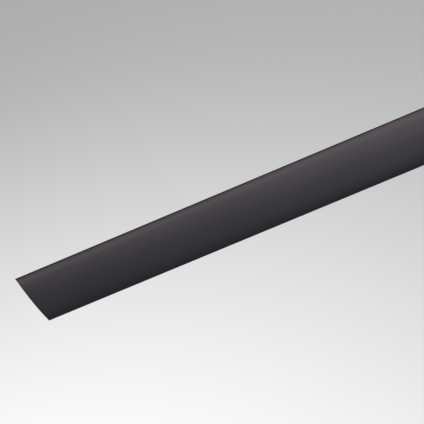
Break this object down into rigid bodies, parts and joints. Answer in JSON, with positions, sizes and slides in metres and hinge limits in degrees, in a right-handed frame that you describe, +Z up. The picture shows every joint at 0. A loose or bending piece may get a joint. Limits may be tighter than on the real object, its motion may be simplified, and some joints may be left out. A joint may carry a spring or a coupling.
{
  "type": "door sweep",
  "caption": "Concealed-fix door sweep: slotted rail, low arched slide-on cover, soft blade in a channel, end plugs and screws.",
  "frame": {"origin": "on the rail's back face, at mid length, on the line of the screws", "axes": "+X along the sweep to the right as seen from the room, +Y into the door, +Z up the door"},
  "size_m": [0.914, 0.0182, 0.049],
  "materials": {
    "black_anodised": "satin black anodised extrusion",
    "mill_aluminium": "mill finish extrusion",
    "zinc_steel": "zinc plated",
    "rigid_vinyl": "extruded rigid vinyl",
    "soft_vinyl": "matt soft vinyl",
    "plug_rubber": "moulded rubber"
  },
  "bodies": {
    "rail": {"base_rail": "mill_aluminium", "blade_bead": "rigid_vinyl", "end_plug_left": "plug_rubber", "end_plug_right": "plug_rubber"},
    "cover": {"cover": "black_anodised"},
    "lip": {"blade_lip": "soft_vinyl"},
    "fixings": {"screw_1": "zinc_steel", "screw_2": "zinc_steel", "screw_3": "zinc_steel", "screw_4": "zinc_steel", "screw_5": "zinc_steel", "screw_6": "zinc_steel", "screw_7": "zinc_steel", "screw_8": "zinc_steel", "washer_1": "zinc_steel", "washer_2": "zinc_steel", "washer_3": "zinc_steel", "washer_4": "zinc_steel", "washer_5": "zinc_steel", "washer_6": "zinc_steel", "washer_7": "zinc_steel", "washer_8": "zinc_steel"}
  },
  "joints": [
    {"name": "cover_slide", "type": "slide", "parent": "rail", "child": "cover", "axis": [1, 0, 0], "range_m": [0, 0.914]},
    {"name": "blade_flex", "type": "hinge", "parent": "rail", "child": "lip", "pos_m": [0, -0.0027, -0.0209], "axis": [1, 0, 0], "range_deg": [-25, 25], "stiffness_Nm_per_rad": 0.05},
    {"name": "height_adjust", "type": "slide", "parent": "rail", "child": "fixings", "axis": [0, 0, 1], "range_m": [-0.003, 0.003]}
  ]
}
